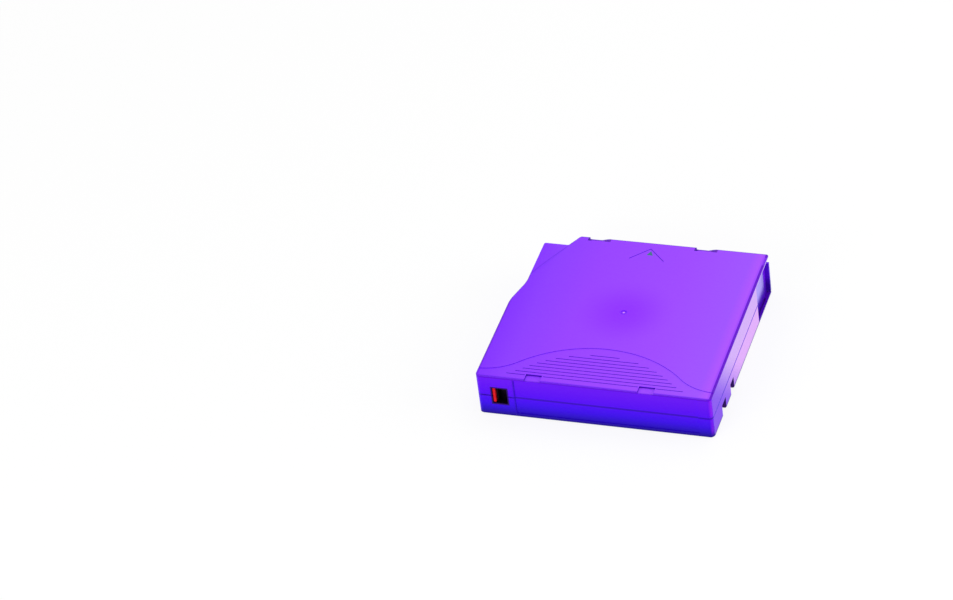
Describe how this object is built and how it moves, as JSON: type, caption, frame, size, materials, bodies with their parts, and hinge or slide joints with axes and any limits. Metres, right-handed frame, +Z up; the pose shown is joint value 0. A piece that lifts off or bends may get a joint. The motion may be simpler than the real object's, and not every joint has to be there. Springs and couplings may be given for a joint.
{
  "type": "data tape cartridge",
  "caption": "Single-reel half-inch data tape cartridge: violet two-part case with label recess, grip field, write protect tab, sprung side door and a braked reel that turns.",
  "frame": {"origin": "centre of the case's outline, on the surface it rests on", "axes": "+Z up; +Y the way the cartridge goes into a drive, with the label face at -Y; +X the side with the sliding door at its front end"},
  "size_m": [0.1054, 0.102, 0.0215],
  "materials": {
    "case_plastic": "fine satin moulded plastic, violet",
    "door_plastic": "satin moulded plastic, violet",
    "protect_plastic": "moulded plastic, red",
    "reel_plastic": "moulded plastic, light grey",
    "brake_plastic": "moulded acetal, off-white",
    "release_plastic": "moulded acetal, off-white",
    "screw_steel": "zinc-plated steel",
    "spring_steel": "drawn spring steel wire",
    "leaf_steel": "rolled stainless strip",
    "pin_steel": "turned and polished steel",
    "plate_steel": "stamped magnetic stainless steel",
    "tape_film": "coated polyester tape, wound",
    "leader_film": "coated polyester tape",
    "clamp_plastic": "moulded plastic, black",
    "board_laminate": "printed circuit laminate with solder mask",
    "coil_copper": "plated copper track",
    "chip_resin": "moulded black resin"
  },
  "bodies": {
    "case": {"upper_shell": "case_plastic", "lower_shell": "case_plastic", "case_screws": "screw_steel", "door_spring": "spring_steel", "brake_spring": "spring_steel", "tape_leader": "leader_film", "leader_pin": "pin_steel", "leader_clamp": "clamp_plastic", "pin_retainer_spring": "leaf_steel", "memory_board": "board_laminate", "memory_antenna": "coil_copper", "memory_chip": "chip_resin"},
    "reel": {"reel_hub": "reel_plastic", "reel_upper_flange": "reel_plastic", "drive_plate": "plate_steel", "tape_pack": "tape_film"},
    "brake": {"brake_disc": "brake_plastic"},
    "release": {"release_plate": "release_plastic"},
    "door": {"sliding_door": "door_plastic"},
    "protect_tab": {"write_protect_slider": "protect_plastic"}
  },
  "joints": [
    {"name": "reel_spin", "type": "hinge", "parent": "case", "child": "reel", "pos_m": [0, 0.0008, 0.0024], "axis": [0, 0, 1], "continuous": true},
    {"name": "brake_lift", "type": "slide", "parent": "case", "child": "brake", "axis": [0, 0, 1], "range_m": [0, 0.002], "stiffness_N_per_m": 400, "springref_m": -0.008, "deforming": ["brake_spring"]},
    {"name": "release_lift", "type": "slide", "parent": "reel", "child": "release", "axis": [0, 0, 1], "range_m": [0, 0.002]},
    {"name": "door_slide", "type": "slide", "parent": "case", "child": "door", "axis": [0, -1, 0], "range_m": [0, 0.02], "stiffness_N_per_m": 12, "springref_m": -0.03, "deforming": ["door_spring"]},
    {"name": "protect_slide", "type": "slide", "parent": "case", "child": "protect_tab", "axis": [1, 0, 0], "range_m": [0, 0.0047]}
  ],
  "couplings": [
    {"joint": "release_lift", "follows": "brake_lift", "ratio": 1}
  ]
}
